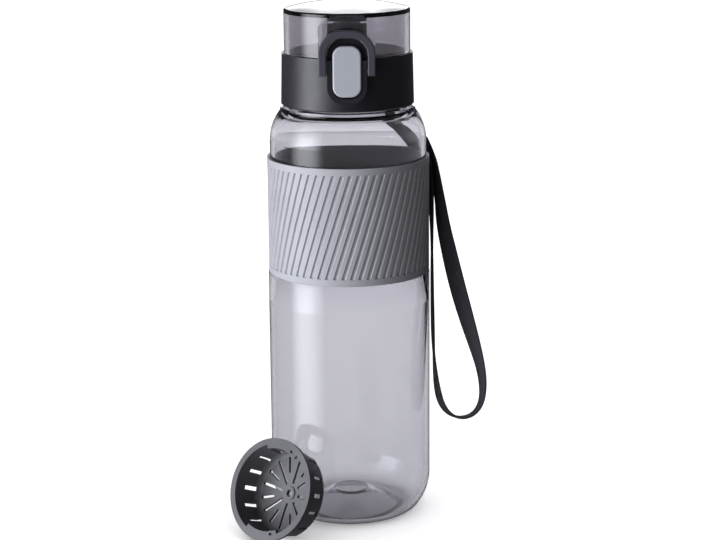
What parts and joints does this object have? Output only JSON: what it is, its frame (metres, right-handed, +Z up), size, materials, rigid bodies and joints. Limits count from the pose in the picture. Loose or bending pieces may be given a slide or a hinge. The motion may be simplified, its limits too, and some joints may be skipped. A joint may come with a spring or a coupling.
{
  "type": "fruit infuser water bottle",
  "caption": "Clear drinking bottle with ribbed grip sleeve, screw cap with locking flip lid over a spout, wrist strap, and a separate fruit strainer leaning on it.",
  "frame": {"origin": "centre of the bottle's foot ring, on the surface it stands on", "axes": "+Z up along the bottle's axis, -Y out of the push button, +X to the strap's side"},
  "size_m": [0.1208, 0.1022, 0.244],
  "materials": {
    "bottle_clear": "clear, faint grey tint",
    "lid_smoke": "clear, smoke grey",
    "sleeve_grey": "matt silicone",
    "silicone": "matt silicone",
    "cap_black": "satin moulded",
    "deck_dark": "satin moulded",
    "button_grey": "satin moulded",
    "spring_steel": "drawn wire",
    "webbing": "woven tape",
    "strainer_grey": "satin moulded"
  },
  "bodies": {
    "bottle": {"bottle_body": "bottle_clear", "grip_sleeve": "sleeve_grey"},
    "seal": {"neck_gasket": "silicone"},
    "cap": {"cap_collar": "cap_black", "cap_deck": "deck_dark", "drinking_spout": "deck_dark", "latch_housing": "cap_black", "hinge_pin": "spring_steel", "hinge_spring": "spring_steel", "button_spring": "spring_steel", "strap_pin": "spring_steel", "strap_tab": "webbing", "wrist_strap": "webbing"},
    "lid": {"flip_lid": "lid_smoke", "lid_catch": "cap_black", "spout_seal": "silicone"},
    "button": {"push_button": "button_grey", "latch_slide": "cap_black"},
    "hoop": {"lock_hoop": "cap_black", "hoop_pins": "spring_steel"},
    "strainer": {"fruit_strainer": "strainer_grey"}
  },
  "joints": [
    {"name": "cap_lift", "type": "slide", "parent": "bottle", "child": "seal", "axis": [0, 0, 1], "range_m": [0, 0.0051]},
    {"name": "cap_turn", "type": "hinge", "parent": "seal", "child": "cap", "pos_m": [0, 0, 0.2], "axis": [0, 0, 1], "range_deg": [0, 450]},
    {"name": "lid_hinge", "type": "hinge", "parent": "cap", "child": "lid", "pos_m": [0, 0.0336, 0.2215], "axis": [-1, 0, 0], "range_deg": [0, 135], "deforming": ["hinge_spring"]},
    {"name": "button_press", "type": "slide", "parent": "cap", "child": "button", "axis": [0, 1, 0], "range_m": [0, 0.0016], "stiffness_N_per_m": 900, "deforming": ["button_spring"]},
    {"name": "hoop_swing", "type": "hinge", "parent": "cap", "child": "hoop", "pos_m": [0, -0.0324, 0.2152], "axis": [1, 0, 0], "range_deg": [0, 170]},
    {"name": "strainer_lift", "type": "slide", "parent": "bottle", "child": "strainer", "axis": [0, 0, 1], "range_m": [0, 0.12]}
  ],
  "couplings": [
    {"joint": "cap_lift", "follows": "cap_turn", "m_per_rad": 0.00063662}
  ]
}
